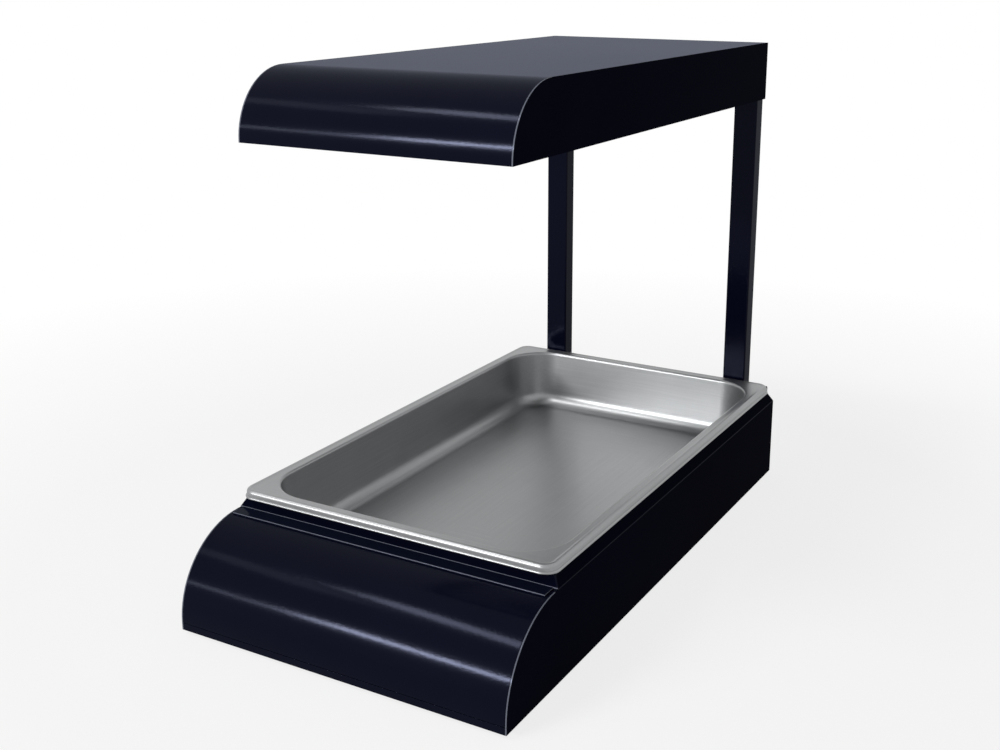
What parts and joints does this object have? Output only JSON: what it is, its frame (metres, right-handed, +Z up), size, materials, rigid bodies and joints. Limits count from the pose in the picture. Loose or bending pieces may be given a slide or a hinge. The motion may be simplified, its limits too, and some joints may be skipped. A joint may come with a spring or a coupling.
{
  "type": "chip warmer",
  "caption": "Countertop chip warmer: black painted base with a full-size steel food pan, and an overhead heat hood on two rear posts.",
  "frame": {"origin": "centre of the bounding box in plan, on the counter under the feet", "axes": "+Z up, +X to the right seen from the front, +Y from the rounded front to the posts at the back"},
  "size_m": [0.33, 0.634, 0.4875],
  "materials": {
    "paint": "gloss",
    "pan_steel": "satin",
    "zinc": "satin",
    "bright": "polished",
    "wire": "polished",
    "element": "matte",
    "insulation": "matte",
    "ceramic": "satin",
    "brass": "satin",
    "rubber": "matte",
    "black_plastic": "satin",
    "lead": "matte"
  },
  "bodies": {
    "stand": {"base_front": "paint", "base_side_left": "paint", "base_side_right": "paint", "base_rear": "paint", "base_bottom": "paint", "top_frame": "paint", "well_liner": "zinc", "base_screws": "zinc", "feet": "rubber", "foot_screws": "zinc", "post_left": "paint", "post_right": "paint", "post_base_bolts": "zinc", "post_hood_bolts": "zinc", "hood_cover": "paint", "hood_side_left": "paint", "hood_side_right": "paint", "hood_rear": "paint", "hood_floor": "paint", "hood_screws": "zinc", "reflector": "bright", "reflector_insulation": "insulation", "heating_element": "element", "element_bushings": "ceramic", "element_bracket_front": "zinc", "element_bracket_rear": "zinc", "wire_guard": "wire", "guard_screws": "zinc", "terminal_block": "ceramic", "terminal_screws": "brass", "switch_body": "black_plastic", "cord_gland": "black_plastic", "gland_nut": "black_plastic", "lead_grommets": "rubber", "power_lead": "lead"},
    "pan": {"food_pan": "pan_steel"},
    "rocker": {"switch_rocker": "black_plastic"}
  },
  "joints": [
    {"name": "pan_lift", "type": "slide", "parent": "stand", "child": "pan", "axis": [0, 0, 1], "range_m": [0, 0.12]},
    {"name": "switch_rock", "type": "hinge", "parent": "stand", "child": "rocker", "pos_m": [0.062, 0.3065, 0.459], "axis": [1, 0, 0], "range_deg": [0, 20]}
  ]
}
